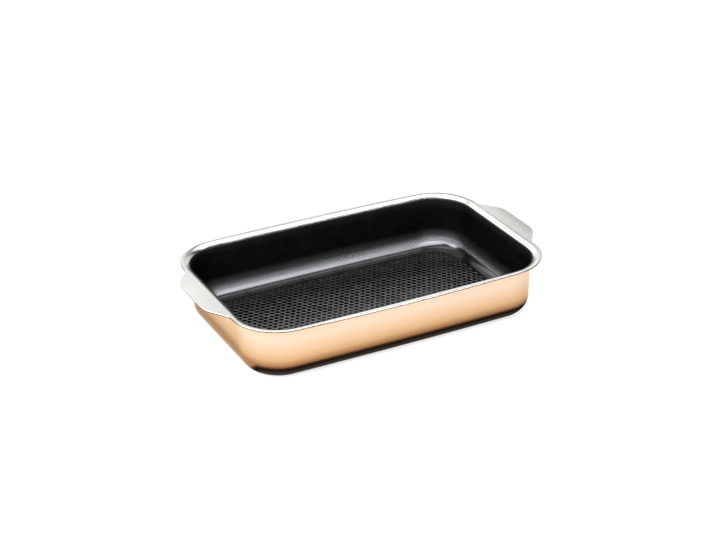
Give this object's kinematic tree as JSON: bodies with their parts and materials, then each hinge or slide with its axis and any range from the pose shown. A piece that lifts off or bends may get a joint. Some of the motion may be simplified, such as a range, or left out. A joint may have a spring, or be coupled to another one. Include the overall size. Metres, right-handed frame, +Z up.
{
  "type": "roasting pan",
  "caption": "Oblong roasting pan pressed from clad sheet: copper walls, a steel rim drawn out into wing handles, and a black non-stick lining with a fine honeycomb.",
  "frame": {"origin": "on the underside of the base, at the middle of the pan", "axes": "+X along the pan through both wings, +Y across the pan, +Z up out of its mouth"},
  "size_m": [0.4002, 0.2318, 0.0662],
  "materials": {
    "copper": "polished copper, softly brushed",
    "core": "sheared edge",
    "steel": "polished stainless steel",
    "coating": "satin black non-stick film"
  },
  "bodies": {
    "root": {"copper_outer_shell": "copper", "aluminium_core": "core", "steel_inner_shell": "steel", "nonstick_coating": "coating"}
  },
  "joints": []
}
